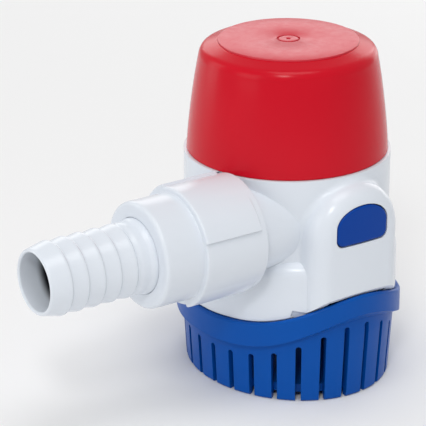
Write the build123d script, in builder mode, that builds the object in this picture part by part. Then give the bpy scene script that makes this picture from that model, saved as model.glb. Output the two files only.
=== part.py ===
from build123d import *
import math
import os

# A small submersible bilge pump: a slotted strainer foot, a pump housing with a screwed-on hose
# tail and check valve, and a brushed motor under a domed cap. Millimetres, +Z up.
# Origin: centre of the foot's underside, on the motor's axis. +X is the discharge direction.

# ---------------------------------------------------------------- strainer foot
FOOT_HALF_Y = 33.75         # half length of the slotted wall at the floor
FOOT_HALF_X = 29.35         # half width of the slotted wall at the floor
FOOT_DRAFT = 1.25           # how much the wall widens up to the collar
DRAFT_TOP = 20.0            # height where the draft ends, behind the collar
OVAL_X = -0.7               # the oval foot sits a little behind the motor's axis
FOOT_WALL = 2.0
FLOOR_RISE = 1.8            # the slotted wall stands below the floor as a row of feet
FOOT_FLOOR = 4.3            # top of the floor
CENTRE_PAD_R = 5.0
COLLAR_STEP = 1.9           # how far the collar stands proud of the slotted wall
COLLAR_TOP = 24.2           # lowest point of the collar's waved top edge
COLLAR_BOTTOM = 16.8        # lowest point of the collar's waved lower edge
COLLAR_WAVE = 10.2          # rise of both waves from the X ends to the Y sides
COLLAR_ROUND = 0.8          # soft outer edges of the collar
REBATE_DEPTH = 3.5          # ledge inside the collar that takes the housing's skirt
SLOT_COUNT = 28
SLOT_WIDTH = 1.7
SLOT_TOP = 13.3             # height of the slots at the X ends
MOUNT_SPACING = 38.0        # between the two floor holes
MOUNT_HOLE_R = 2.2
MOUNT_BOSS_R = 5.0
MOUNT_BOSS_H = 6.0

# ---------------------------------------------------------------- pump housing
BODY_R = 30.8               # round upper body
BODY_WALL = 2.2
BODY_TOP = 69.0
SHELF_HALF_Y = 35.4         # oval lower housing
SHELF_HALF_X = 31.0
SHELF_TOP = 45.0
SHELF_FILLET = 5.5
PARTING_GAP = 0.3           # housing edge above the collar's edge
PANEL_HALF_W = 15.5         # raised side panels
PANEL_FACE = 36.5
PANEL_TOP = 67.0
PANEL_CROWN_HALF_X = 60.0
PANEL_FILLET = 6.0
NOTCH_X = 16.7
NOTCH_Z = 28.7
NOTCH_W = 3.2
NOTCH_H = 2.0
NOTCH_TILT = 12.0
WINDOW_HALF_W = 9.2
WINDOW_BOTTOM = 49.7
WINDOW_ARCH = 55.5          # height where the sides turn into the arch
WINDOW_TOP = 61.7
WINDOW_CORNER = 2.4
PANEL_SKIN = 1.8            # plastic outside the latch pocket

# ---------------------------------------------------------------- discharge
OUTLET_Y = 14.0
OUTLET_Z = 53.0
OUTLET_FACE = 28.7          # face that the union nut closes on
OUTLET_BOSS_R = 13.3        # neck behind the union nut
BLEND_R = 2.2               # soft inner corner between panel and round body
OUTLET_BORE_R = 9.3
DUCT_WALL = 1.9
DUCT_START = 20.5           # inner end of the straight bore
RISER_X = (19.0, 23.4)      # passage that rises from the volute to the bore
RISER_Y = (9.0, 17.0)
RISER_WALL = 2.0
CHAMBER_MOUTH_X = 10.0      # where the riser leaves the volute
BACKING_X = 25.5            # thickened wall beside the nut
BACKING_HALF_W = 6.0
THREAD_R = 14.9
THREAD_ROOT_R = 14.1
THREAD_PITCH = 2.0
THREAD_LENGTH = 13.3
THREAD_FLAT = 0.3           # half the flat on a thread's crest
GASKET_T = 1.4
NUT_R = 17.2
NUT_LENGTH = 20.8
NUT_GAP = 0.3
NUT_COLLAR_R = 15.6
NUT_COLLAR_LENGTH = 12.5
NUT_FRONT_T = 2.0
NUT_GRIP_H = 0.8
NUT_GRIP_COUNT = 4
NUT_GRIP_START = 20.0       # degrees from +Y towards +Z
NUT_GRIP_SPAN = 36.0
NUT_GRIP_MARGIN = 1.9       # plain band at each end of the grips
TAIL_FLANGE_R = 14.4
TAIL_FLANGE_T = 2.0
TAIL_HUB_R = 13.6
TAIL_HUB_BORE_R = 11.6
BARB_R = 10.7               # over the crests, for a 19 mm hose
BARB_VALLEY_R = 9.95
BARB_ROOT_R = 10.5
BARB_BORE_R = 8.4
BARB_TIP_R = 9.5
BARB_PITCH = 5.25
BARB_CREST_COUNT = 5
BARB_LENGTH = 33.7          # from the nut's front to the mouth
BARB_TIP_LENGTH = 6.0       # from the last crest to the mouth

# ---------------------------------------------------------------- check valve
SEAT_BORE_R = 7.4
SEAT_T = 2.6
FLAP_R = 8.6
FLAP_T = 1.4
FLAP_GAP = 0.2
FLAP_PIN_R = 0.8
FLAP_PIN_RISE = 8.8
FLAP_PIN_HALF_L = 4.6
FLAP_KNUCKLE_R = 1.3
FLAP_KNUCKLE_HALF_W = 2.6
FLAP_EAR_R = 1.2            # half height of the seat's two ears round the pin
FLAP_SHOULDER = 2.0         # from the pin down to the disc beside the knuckle
SEAT_LIP = 0.5              # raised ring that the flap closes on

# ---------------------------------------------------------------- motor cap
CAP_R = 30.0
CAP_UPPER_R = 26.5
CAP_UPPER_Z = 97.2
CAP_CORNER_R = 26.2         # where side and shoulder would meet without their round
CAP_CORNER_Z = 99.9
CAP_CORNER_ROUND = 2.4
CAP_BULGE = 0.45            # how far the side bows out at mid height
CAP_TOP = 101.8
CAP_WALL = 2.2
CAP_SPIGOT_DEPTH = 4.7
CAP_SPIGOT_T = 2.2
LABEL_R = 20.8
LABEL_T = 0.5
HUB_R = 3.2
SEAL_CORD_R = 0.85

# ---------------------------------------------------------------- motor and pumping parts
RUNNING = 0.05              # radial clearance of a shaft in its bush
LOOSE = 0.3                 # gap between pieces that lie beside each other
SHAFT_R = 1.6
SHAFT_TOP = 91.5
CAN_R = 16.0
CAN_WALL = 1.0
CAN_LENGTH = 43.0
MAGNET_T = 2.6
MAGNET_SPAN = 120.0
AIR_GAP = 0.6
CORE_LENGTH = 22.0
CORE_SLOTS = 5
COMMUTATOR_R = 4.2
COMMUTATOR_LENGTH = 4.6
BUSH_R = 3.0
BUSH_LENGTH = 3.2
WELL_WALL = 2.0
ROOF_T = 2.5                # between volute and motor well
CHAMBER_R = 20.5
CHAMBER_WALL = 2.0
CHAMBER_FLOOR = 27.4
CHAMBER_TOP = 40.5
COVER_T = 2.0
EYE_R = 7.0
IMPELLER_R = 16.5
IMPELLER_HUB_R = 4.0
VANE_COUNT = 6
VANE_T = 1.3
VANE_SWEEP = 48.0           # degrees that a vane trails behind its root
SCREW_R = 1.05
SCREW_HEAD_R = 2.2
SCREW_CIRCLE_R = 24.3
SCREW_BOSS_R = 2.6
SCREW_ANGLES = (60, 180, 300)
SEAL_R = 6.0

# ---------------------------------------------------------------- release tabs
TAB_ARM_IN = 30.0           # inner face of the latch arm
TAB_ARM_T = 1.8
TAB_ARM_HALF_W = 7.0
TAB_PIVOT_Z = 24.0
TAB_BEAD_R = 1.6
TAB_PAD_GAP = 0.3           # between pad and window
TAB_PAD_PROUD = 0.25        # pad beyond the panel's face
TAB_PAD_ROUND = 0.7
TAB_SOCKET_HALF_W = 9.0
SOCKET_LIP = 1.3            # socket wall inside the arm
POCKET_HALF_W = 10.5
POCKET_WALL = 1.8
POCKET_MARGIN = 0.9         # pocket beyond the window's edge

# ---------------------------------------------------------------- cable gland
GLAND_ANGLE = 225.0
GLAND_Z = 60.0
GLAND_R = 3.5
GLAND_FLANGE_R = 4.8
GLAND_REACH = 7.0
CABLE_R = 1.7

# ---------------------------------------------------------------- worked-out places
COLLAR_HALF_Y = FOOT_HALF_Y + FOOT_DRAFT + COLLAR_STEP
COLLAR_HALF_X = FOOT_HALF_X + FOOT_DRAFT + COLLAR_STEP
WALL_TOP_HALF_Y = FOOT_HALF_Y + FOOT_DRAFT
WALL_TOP_HALF_X = FOOT_HALF_X + FOOT_DRAFT
REBATE_INSET = 0.2          # rebate wall inside the slotted wall's outer face
SKIRT_HALF_Y = WALL_TOP_HALF_Y - REBATE_INSET - LOOSE
SKIRT_HALF_X = WALL_TOP_HALF_X - REBATE_INSET - LOOSE
THREAD_START = OUTLET_FACE + 0.8
THREAD_END = OUTLET_FACE + THREAD_LENGTH
TAIL_BACK = THREAD_END + GASKET_T + 0.1
TAIL_FLANGE_END = TAIL_BACK + TAIL_FLANGE_T
NUT_BACK = OUTLET_FACE + NUT_GAP
NUT_STEP = NUT_BACK + NUT_LENGTH
NUT_FRONT = NUT_STEP + NUT_COLLAR_LENGTH
TAIL_HUB_END = NUT_FRONT - NUT_FRONT_T - 0.1
BARB_END = NUT_FRONT + BARB_LENGTH
NUT_MOUTH_R = BARB_R + 0.6   # passes over the barb crests
FLARE_R = NUT_MOUTH_R - LOOSE
POCKET_IN = TAB_ARM_IN - 3.0
POCKET_OUT = PANEL_FACE - PANEL_SKIN
POCKET_TOP = WINDOW_TOP + POCKET_MARGIN
WELL_R = CAN_R + LOOSE
WELL_FLOOR = CHAMBER_TOP + ROOF_T
CAN_BOTTOM = WELL_FLOOR + 1.3
CAN_TOP = CAN_BOTTOM + CAN_LENGTH
CORE_R = CAN_R - CAN_WALL - MAGNET_T - AIR_GAP
CORE_BOTTOM = CAN_BOTTOM + 10.5
CORE_TOP = CORE_BOTTOM + CORE_LENGTH
COMMUTATOR_BOTTOM = CORE_TOP + 3.8
CAP_BASE = BODY_TOP
COVER_BOTTOM = CHAMBER_FLOOR - COVER_T
IMPELLER_BOTTOM = CHAMBER_FLOOR + 1.4
IMPELLER_TOP = CHAMBER_TOP - 1.2

outlet_plane = Plane(origin=(0, OUTLET_Y, OUTLET_Z), x_dir=(1, 0, 0), z_dir=(0, -1, 0))
outlet_axis = Axis((0, OUTLET_Y, OUTLET_Z), (1, 0, 0))
SPAN = 80.0                 # longer than anything it trims


def across(x):
    """Plane square to the discharge axis at x: local x is +Y, local y is +Z."""
    return Plane(origin=(x, OUTLET_Y, OUTLET_Z), x_dir=(0, 1, 0), z_dir=(1, 0, 0))


def wave(y, low):
    """Height of the collar's wave: flat near the middle, rising with the fourth power of y."""
    return low + COLLAR_WAVE * (y / COLLAR_HALF_Y) ** 4


def below_wave(low):
    """Everything under a wave whose lowest line is at height low."""
    ys = [COLLAR_HALF_Y * step / 6 for step in range(-7, 8)]
    edge = [(y, wave(y, low)) for y in ys]
    with BuildPart() as block:
        with BuildSketch(Plane.YZ):
            with BuildLine():
                Spline(*edge)
                Polyline(edge[-1], (edge[-1][0], -SPAN), (edge[0][0], -SPAN), edge[0])
            make_face()
        extrude(amount=SPAN, both=True)
    return block.part


def oval(half_x, half_y, bottom, top):
    """Upright oval prism on the foot's centre."""
    with BuildPart() as block:
        with BuildSketch(Plane.XY.offset(bottom)):
            with Locations((OVAL_X, 0)):
                Ellipse(half_x, half_y)
        extrude(amount=top - bottom)
    return block.part


def ring(outer, inner, bottom, top):
    """Upright round tube."""
    with BuildPart() as block:
        with BuildSketch(Plane.XY.offset(bottom)):
            Circle(outer)
            Circle(inner, mode=Mode.SUBTRACT)
        extrude(amount=top - bottom)
    return block.part


def disc(radius, bottom, top, x=0.0, y=0.0):
    """Upright round bar."""
    with BuildPart() as block:
        with BuildSketch(Plane.XY.offset(bottom)):
            with Locations((x, y)):
                Circle(radius)
        extrude(amount=top - bottom)
    return block.part


def cuboid(low, high):
    """Box between two opposite corners."""
    size = [b - a for a, b in zip(low, high)]
    with BuildPart() as block:
        with BuildSketch(Plane.XY.offset(low[2])):
            with Locations((low[0] + size[0] / 2, low[1] + size[1] / 2)):
                Rectangle(size[0], size[1])
        extrude(amount=size[2])
    return block.part


def outlet_bar(radius, start, end):
    """Round bar on the discharge axis."""
    with BuildPart() as block:
        with BuildSketch(across(start)):
            Circle(radius)
        extrude(amount=end - start)
    return block.part


def outlet_turning(points):
    """Turned piece on the discharge axis, from its (x, radius) outline."""
    with BuildPart() as block:
        with BuildSketch(outlet_plane):
            with BuildLine():
                Polyline(*points, close=True)
            make_face()
        revolve(axis=outlet_axis)
    return block.part


def window_bar(inset, start, end):
    """Bar along +Y with the window's D shape, flat below and arched above, inset all round."""
    half = WINDOW_HALF_W - inset
    low = WINDOW_BOTTOM + inset
    with BuildPart() as block:
        with BuildSketch(Plane.XZ.offset(-start)) as outline:
            with Locations((OVAL_X, WINDOW_ARCH)):
                Ellipse(half, WINDOW_TOP - inset - WINDOW_ARCH)
            with Locations((OVAL_X, (low + WINDOW_ARCH) / 2)):
                Rectangle(2 * half, WINDOW_ARCH - low)
            with Locations((OVAL_X, low - half)):
                Rectangle(2 * half, 2 * half, mode=Mode.SUBTRACT)
            fillet(outline.vertices().group_by(Axis.Y)[0], radius=WINDOW_CORNER)
        extrude(amount=end - start, dir=(0, 1, 0))
    return block.part


def slot_places():
    """Angle, place and outward direction of each slot, evenly spaced round the oval wall."""
    steps = 3600
    angles = [2 * math.pi * i / steps for i in range(steps + 1)]
    spots = [(WALL_TOP_HALF_X * math.cos(a), WALL_TOP_HALF_Y * math.sin(a)) for a in angles]
    lengths = [0.0]
    for before, after in zip(spots, spots[1:]):
        lengths.append(lengths[-1] + math.dist(before, after))
    places = []
    for k in range(SLOT_COUNT):
        goal = lengths[-1] * (k + 0.5) / SLOT_COUNT
        i = next(i for i, run in enumerate(lengths) if run >= goal)
        x, y = spots[i]
        normal = math.degrees(math.atan2(y / WALL_TOP_HALF_Y ** 2, x / WALL_TOP_HALF_X ** 2))
        places.append((OVAL_X + x, y, normal))
    return places


# ================================================================ strainer foot
with BuildPart() as collar_band:
    add(oval(COLLAR_HALF_X, COLLAR_HALF_Y, COLLAR_BOTTOM, COLLAR_TOP + COLLAR_WAVE))
    add(oval(WALL_TOP_HALF_X - REBATE_INSET, WALL_TOP_HALF_Y - REBATE_INSET, 0, SPAN),
        mode=Mode.SUBTRACT)
    add(below_wave(COLLAR_BOTTOM), mode=Mode.SUBTRACT)
    add(below_wave(COLLAR_TOP), mode=Mode.INTERSECT)
    fillet(collar_band.edges().sort_by(SortBy.LENGTH)[-2:], radius=COLLAR_ROUND)

with BuildPart() as slot_cutters:
    for slot_x, slot_y, slot_normal in slot_places():
        slot_top = SLOT_TOP + COLLAR_WAVE * (slot_y / WALL_TOP_HALF_Y) ** 4
        face = Plane(origin=(slot_x, slot_y, 0),
                     x_dir=(-math.sin(math.radians(slot_normal)),
                            math.cos(math.radians(slot_normal)), 0),
                     z_dir=(math.cos(math.radians(slot_normal)),
                            math.sin(math.radians(slot_normal)), 0))
        with BuildSketch(face):
            with Locations((0, (slot_top - SLOT_WIDTH) / 2)):
                Rectangle(SLOT_WIDTH, slot_top - SLOT_WIDTH / 2 + SLOT_WIDTH)
            with Locations((0, slot_top - SLOT_WIDTH / 2)):
                Circle(SLOT_WIDTH / 2)
        extrude(amount=2 * FOOT_WALL, both=True)

with BuildPart() as strainer_base:
    with BuildSketch(Plane.XY):
        with Locations((OVAL_X, 0)):
            Ellipse(FOOT_HALF_X, FOOT_HALF_Y)
    with BuildSketch(Plane.XY.offset(DRAFT_TOP)):
        with Locations((OVAL_X, 0)):
            Ellipse(WALL_TOP_HALF_X, WALL_TOP_HALF_Y)
    loft()
    add(oval(WALL_TOP_HALF_X, WALL_TOP_HALF_Y, DRAFT_TOP, COLLAR_TOP + COLLAR_WAVE))
    fillet(strainer_base.faces().sort_by(Axis.Z)[0].edges(), radius=0.8)
    add(oval(FOOT_HALF_X - FOOT_WALL, FOOT_HALF_Y - FOOT_WALL, FOOT_FLOOR, SPAN),
        mode=Mode.SUBTRACT)
    add(oval(FOOT_HALF_X - FOOT_WALL, FOOT_HALF_Y - FOOT_WALL, -1, FLOOR_RISE),
        mode=Mode.SUBTRACT)
    add(slot_cutters.part, mode=Mode.SUBTRACT)
    add(below_wave(COLLAR_TOP - REBATE_DEPTH), mode=Mode.INTERSECT)
    add(collar_band.part)
    for side in (1, -1):
        ends = sorted((side * (TAB_ARM_IN - SOCKET_LIP), side * (FOOT_HALF_Y - FOOT_WALL + 0.8)))
        add(cuboid((OVAL_X - TAB_SOCKET_HALF_W, ends[0], TAB_PIVOT_Z - 3.6),
                   (OVAL_X + TAB_SOCKET_HALF_W, ends[1], TAB_PIVOT_Z + 2.0)))
    for side in (1, -1):
        pivot_y = side * (TAB_ARM_IN + TAB_ARM_T / 2)
        with BuildSketch(Plane.YZ.offset(OVAL_X)):
            with Locations((pivot_y, TAB_PIVOT_Z)):
                Circle(TAB_BEAD_R + RUNNING)
            with Locations((pivot_y, TAB_PIVOT_Z + 3.0)):
                Rectangle(TAB_ARM_T + 0.7, 6.0)
        extrude(amount=TAB_ARM_HALF_W + LOOSE, both=True, mode=Mode.SUBTRACT)
        ends = sorted((side * (TAB_ARM_IN - 0.3), side * (TAB_ARM_IN + TAB_ARM_T + 0.6)))
        add(cuboid((OVAL_X - TAB_ARM_HALF_W - LOOSE, ends[0], TAB_PIVOT_Z + 2.0),
                   (OVAL_X + TAB_ARM_HALF_W + LOOSE, ends[1], SPAN)), mode=Mode.SUBTRACT)
    with Locations((OVAL_X, 0)):
        with GridLocations(MOUNT_SPACING, 1, 2, 1):
            Cylinder(MOUNT_BOSS_R, MOUNT_BOSS_H, align=(Align.CENTER, Align.CENTER, Align.MIN))
    with Locations((OVAL_X, 0)):
        with GridLocations(MOUNT_SPACING, 1, 2, 1):
            Cylinder(MOUNT_HOLE_R, 4 * MOUNT_BOSS_H, mode=Mode.SUBTRACT)
    add(disc(CENTRE_PAD_R, 0, FOOT_FLOOR))
strainer_base.part.label = "strainer_base"

# ================================================================ release tabs
def release_tab(side):
    """Latch arm with its D-shaped thumb pad, standing in a socket of the foot."""
    pad_out = PANEL_FACE + TAB_PAD_PROUD
    arm_top = WINDOW_BOTTOM + 3.0
    with BuildPart() as arm:
        with BuildSketch(Plane.YZ.offset(OVAL_X)):
            with Locations((side * (TAB_ARM_IN + TAB_ARM_T / 2), TAB_PIVOT_Z)):
                Circle(TAB_BEAD_R)
            with Locations((side * (TAB_ARM_IN + TAB_ARM_T / 2), (TAB_PIVOT_Z + arm_top) / 2)):
                Rectangle(TAB_ARM_T, arm_top - TAB_PIVOT_Z)
        extrude(amount=TAB_ARM_HALF_W, both=True)
    with BuildPart() as pad:
        add(window_bar(TAB_PAD_GAP, TAB_ARM_IN, PANEL_FACE + PANEL_SKIN))
        add(oval(PANEL_CROWN_HALF_X, pad_out, 0, 2 * SPAN), mode=Mode.INTERSECT)
        fillet(pad.faces().sort_by(Axis.Y)[-1].edges(), radius=TAB_PAD_ROUND)
    with BuildPart() as joined:
        add(arm.part)
        add(pad.part if side > 0 else mirror(pad.part, about=Plane.XZ))
    return joined.part


with BuildPart() as release_tab_right:
    add(release_tab(1))
release_tab_right.part.label = "release_tab_right"

with BuildPart() as release_tab_left:
    add(release_tab(-1))
release_tab_left.part.label = "release_tab_left"

# ================================================================ pump housing
with BuildPart() as shelf_form:
    add(oval(SHELF_HALF_X, SHELF_HALF_Y, COLLAR_TOP - COLLAR_WAVE, SHELF_TOP))
    fillet(shelf_form.faces().sort_by(Axis.Z)[-1].edges(), radius=SHELF_FILLET)

with BuildPart() as panel_form:
    arch_z = PANEL_TOP - PANEL_HALF_W
    left = OVAL_X - PANEL_HALF_W
    right = OVAL_X + PANEL_HALF_W
    with BuildSketch(Plane.XZ):
        with BuildLine():
            Polyline((left, arch_z), (left, COLLAR_BOTTOM), (right, COLLAR_BOTTOM), (right, arch_z))
            ThreePointArc((right, arch_z), (OVAL_X, PANEL_TOP), (left, arch_z))
        make_face()
    extrude(amount=SPAN, both=True)
    add(oval(PANEL_CROWN_HALF_X, PANEL_FACE, 0, SPAN), mode=Mode.INTERSECT)
    crown_faces = panel_form.faces().sort_by(Axis.Y)
    rim_edges = [e for f in (crown_faces[0], crown_faces[-1]) for e in f.edges()
                 if e.center().Z > COLLAR_TOP]
    fillet(rim_edges, radius=PANEL_FILLET)

with BuildPart() as skirt_form:
    add(oval(SKIRT_HALF_X, SKIRT_HALF_Y, COLLAR_BOTTOM, SHELF_TOP - 2 * BODY_WALL))
    add(oval(SKIRT_HALF_X - BODY_WALL, SKIRT_HALF_Y - BODY_WALL, 0, SPAN), mode=Mode.SUBTRACT)
    add(below_wave(COLLAR_TOP - REBATE_DEPTH + LOOSE), mode=Mode.SUBTRACT)
    add(below_wave(COLLAR_TOP + 4), mode=Mode.INTERSECT)

screw_places = [(SCREW_CIRCLE_R * math.cos(math.radians(a)), SCREW_CIRCLE_R * math.sin(math.radians(a)))
                for a in SCREW_ANGLES]
gland_dir = (math.cos(math.radians(GLAND_ANGLE)), math.sin(math.radians(GLAND_ANGLE)), 0)


def gland_plane(reach):
    """Plane square to the cable gland, at a distance from the motor's axis."""
    return Plane(origin=(gland_dir[0] * reach, gland_dir[1] * reach, GLAND_Z),
                 x_dir=(0, 0, 1), z_dir=gland_dir)


with BuildPart() as body_housing:
    # outer form
    add(disc(BODY_R, COLLAR_TOP, BODY_TOP))
    add(panel_form.part)
    inner_corners = [e for e in body_housing.edges()
                     if abs(e.center().X - OVAL_X) < PANEL_HALF_W + 1 and COLLAR_TOP + 1 < e.center().Z
                     and all(abs(math.hypot(v.X, v.Y) - BODY_R) < 0.01 for v in e.vertices())
                     and e.center().Z < BODY_TOP - 1]
    fillet(inner_corners, radius=BLEND_R)
    add(shelf_form.part)
    add(outlet_bar(OUTLET_BOSS_R, 0, OUTLET_FACE))
    add(below_wave(COLLAR_TOP + PARTING_GAP), mode=Mode.SUBTRACT)
    add(outlet_bar(NUT_R + 0.4, OUTLET_FACE, 2 * OUTLET_FACE), mode=Mode.SUBTRACT)
    # drain notches in the lower edge, beside the panels on the discharge side
    with BuildSketch(Plane.XZ):
        with Locations((NOTCH_X, NOTCH_Z)):
            Rectangle(NOTCH_W, NOTCH_H, rotation=NOTCH_TILT)
    extrude(amount=SPAN, both=True, mode=Mode.SUBTRACT)
    # hollows above and below the roof
    add(oval(SHELF_HALF_X - BODY_WALL, SHELF_HALF_Y - BODY_WALL, 0, CHAMBER_TOP),
        mode=Mode.SUBTRACT)
    add(disc(BODY_R - BODY_WALL, WELL_FLOOR, SPAN), mode=Mode.SUBTRACT)
    # skirt, chamber wall, motor well, screw bosses, latch pockets and duct
    add(skirt_form.part)
    add(ring(CHAMBER_R + CHAMBER_WALL, CHAMBER_R, CHAMBER_FLOOR, CHAMBER_TOP))
    add(ring(WELL_R + WELL_WALL, WELL_R, WELL_FLOOR, BODY_TOP - CAP_SPIGOT_DEPTH))
    for screw_x, screw_y in screw_places:
        add(disc(SCREW_BOSS_R, CHAMBER_FLOOR, CHAMBER_TOP, screw_x, screw_y))
    for side in (1, -1):
        half_w = POCKET_HALF_W + POCKET_WALL
        reach = math.sqrt((BODY_R - 0.5) ** 2 - (half_w - OVAL_X) ** 2)
        ends = sorted((side * (POCKET_IN - POCKET_WALL), side * reach))
        add(cuboid((OVAL_X - half_w, ends[0], CHAMBER_TOP),
                   (OVAL_X + half_w, ends[1], POCKET_TOP + POCKET_WALL)))
    add(outlet_bar(OUTLET_BORE_R + DUCT_WALL, DUCT_START - DUCT_WALL, OUTLET_FACE))
    add(cuboid((BACKING_X, -BACKING_HALF_W, CHAMBER_TOP),
               (OUTLET_FACE, BACKING_HALF_W, BODY_TOP - CAP_SPIGOT_DEPTH - LOOSE)))
    add(cuboid((RISER_X[0] - RISER_WALL, RISER_Y[0] - RISER_WALL, CHAMBER_FLOOR),
               (RISER_X[1] + RISER_WALL, RISER_Y[1] + RISER_WALL, OUTLET_Z)))
    add(outlet_bar(THREAD_ROOT_R, THREAD_START, THREAD_END))
    for k in range(int(THREAD_LENGTH / THREAD_PITCH) - 1):
        start = OUTLET_FACE + (k + 1.2) * THREAD_PITCH
        crest = start + THREAD_PITCH / 2
        low = start - THREAD_PITCH / 4
        high = start + THREAD_PITCH
        add(outlet_turning([(low, OUTLET_BORE_R + 1), (low, THREAD_ROOT_R),
                            (crest - THREAD_FLAT, THREAD_R), (crest + THREAD_FLAT, THREAD_R),
                            (high, THREAD_ROOT_R), (high, OUTLET_BORE_R + 1)]))
    # passages
    add(outlet_bar(OUTLET_BORE_R, DUCT_START, SPAN), mode=Mode.SUBTRACT)
    add(cuboid((RISER_X[0], RISER_Y[0], CHAMBER_FLOOR + RISER_WALL), (RISER_X[1], RISER_Y[1], OUTLET_Z)),
        mode=Mode.SUBTRACT)
    add(cuboid((CHAMBER_MOUTH_X, RISER_Y[0], CHAMBER_FLOOR + RISER_WALL),
               (RISER_X[1], RISER_Y[1], CHAMBER_TOP - 1)), mode=Mode.SUBTRACT)
    add(disc(CHAMBER_R, CHAMBER_FLOOR, CHAMBER_TOP), mode=Mode.SUBTRACT)
    add(disc(SEAL_R, CHAMBER_TOP - 1, WELL_FLOOR + 1), mode=Mode.SUBTRACT)
    for screw_x, screw_y in screw_places:
        add(disc(SCREW_R, CHAMBER_FLOOR - 1, CHAMBER_FLOOR + 9, screw_x, screw_y),
            mode=Mode.SUBTRACT)
    # latch pockets and windows
    for side in (1, -1):
        ends = sorted((side * POCKET_IN, side * POCKET_OUT))
        add(cuboid((OVAL_X - POCKET_HALF_W, ends[0], 0),
                   (OVAL_X + POCKET_HALF_W, ends[1], WINDOW_BOTTOM + 2)), mode=Mode.SUBTRACT)
        add(window_bar(-POCKET_MARGIN, *ends), mode=Mode.SUBTRACT)
        ends = sorted((side * (POCKET_OUT - 1), side * (PANEL_FACE + 1)))
        add(window_bar(0, *ends), mode=Mode.SUBTRACT)
    # cable inlet
    with BuildSketch(gland_plane(BODY_R - 2 * BODY_WALL)):
        Circle(GLAND_R)
    extrude(amount=4 * BODY_WALL, mode=Mode.SUBTRACT)
body_housing.part.label = "body_housing"

# ================================================================ volute cover, screws
with BuildPart() as volute_cover:
    add(disc(CHAMBER_R + CHAMBER_WALL, COVER_BOTTOM, CHAMBER_FLOOR))
    for screw_x, screw_y in screw_places:
        add(disc(SCREW_BOSS_R, COVER_BOTTOM, CHAMBER_FLOOR, screw_x, screw_y))
    add(ring(EYE_R + 1.4, EYE_R, COVER_BOTTOM - 1.6, COVER_BOTTOM))
    add(disc(EYE_R, 0, SPAN), mode=Mode.SUBTRACT)
    for screw_x, screw_y in screw_places:
        add(disc(SCREW_R + 0.2, 0, SPAN, screw_x, screw_y), mode=Mode.SUBTRACT)
volute_cover.part.label = "volute_cover"

with BuildPart() as cover_screws:
    for screw_x, screw_y in screw_places:
        add(disc(SCREW_R, COVER_BOTTOM, CHAMBER_FLOOR + 8, screw_x, screw_y))
        add(disc(SCREW_HEAD_R, COVER_BOTTOM - 1.4, COVER_BOTTOM, screw_x, screw_y))
    for screw_x, screw_y in screw_places:
        add(cuboid((screw_x - 1.5, screw_y - 0.3, COVER_BOTTOM - 1.4),
                   (screw_x + 1.5, screw_y + 0.3, COVER_BOTTOM - 0.8)), mode=Mode.SUBTRACT)
cover_screws.part.label = "cover_screws"

# ================================================================ motor cap
with BuildPart() as motor_cap:
    mid_r = (CAP_R + CAP_UPPER_R) / 2 + CAP_BULGE
    with BuildSketch(Plane.XZ) as cap_outline:
        with BuildLine():
            Line((0, CAP_BASE), (CAP_R, CAP_BASE))
            Spline((CAP_R, CAP_BASE), (mid_r, (CAP_BASE + CAP_UPPER_Z) / 2),
                   (CAP_UPPER_R, CAP_UPPER_Z), tangents=[(-0.04, 1), (-0.2, 1)])
            Polyline((CAP_UPPER_R, CAP_UPPER_Z), (CAP_CORNER_R, CAP_CORNER_Z),
                     (LABEL_R, CAP_TOP), (0, CAP_TOP), (0, CAP_BASE))
        make_face()
        corner = cap_outline.vertices().sort_by_distance((CAP_CORNER_R, CAP_CORNER_Z, 0))[0]
        fillet(corner, radius=CAP_CORNER_ROUND)
    revolve(axis=Axis.Z)
    with BuildSketch(Plane.XZ):
        with BuildLine():
            Line((0, CAP_BASE - 1), (CAP_R - CAP_WALL, CAP_BASE - 1))
            Polyline((CAP_R - CAP_WALL, CAP_BASE - 1), (CAP_UPPER_R - CAP_WALL, CAP_UPPER_Z),
                     (LABEL_R - CAP_WALL, CAP_TOP - CAP_WALL), (0, CAP_TOP - CAP_WALL),
                     (0, CAP_BASE - 1))
        make_face()
    revolve(axis=Axis.Z, mode=Mode.SUBTRACT)
    spigot_r = BODY_R - BODY_WALL - LOOSE
    add(ring(spigot_r, spigot_r - CAP_SPIGOT_T, BODY_TOP - CAP_SPIGOT_DEPTH + 0.3, CAP_BASE + 1.5))
    groove_z = BODY_TOP - CAP_SPIGOT_DEPTH / 2
    add(ring(CAP_R, BODY_R - BODY_WALL - 2 * SEAL_CORD_R, groove_z - 1, groove_z + 1),
        mode=Mode.SUBTRACT)
    add(ring(CAN_R + 2.0, CAN_R + 0.2, CAN_TOP - 6, CAP_TOP - CAP_WALL + 0.5))
motor_cap.part.label = "motor_cap"

with BuildPart() as cap_label:
    add(disc(LABEL_R, CAP_TOP, CAP_TOP + LABEL_T))
    fillet(cap_label.edges().sort_by(Axis.Z)[-1], radius=0.25)
    add(ring(HUB_R, HUB_R - 0.4, CAP_TOP + LABEL_T - 0.2, CAP_TOP + LABEL_T), mode=Mode.SUBTRACT)
cap_label.part.label = "cap_label"

with BuildPart() as cap_seal:
    with BuildSketch(Plane.XZ):
        with Locations((BODY_R - BODY_WALL - SEAL_CORD_R - 0.02, groove_z)):
            Circle(SEAL_CORD_R - 0.02)
    revolve(axis=Axis.Z)
cap_seal.part.label = "cap_seal"

# ================================================================ motor
with BuildPart() as motor_can:
    add(disc(CAN_R, CAN_BOTTOM, CAN_TOP))
    fillet(motor_can.edges().sort_by(Axis.Z)[0], radius=1.0)
    add(disc(CAN_R - CAN_WALL, CAN_BOTTOM + CAN_WALL, SPAN + 20), mode=Mode.SUBTRACT)
    add(disc(BUSH_R + 1, CAN_BOTTOM, CAN_BOTTOM + BUSH_LENGTH))
    add(disc(BUSH_R, 0, SPAN), mode=Mode.SUBTRACT)
motor_can.part.label = "motor_can"

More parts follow.
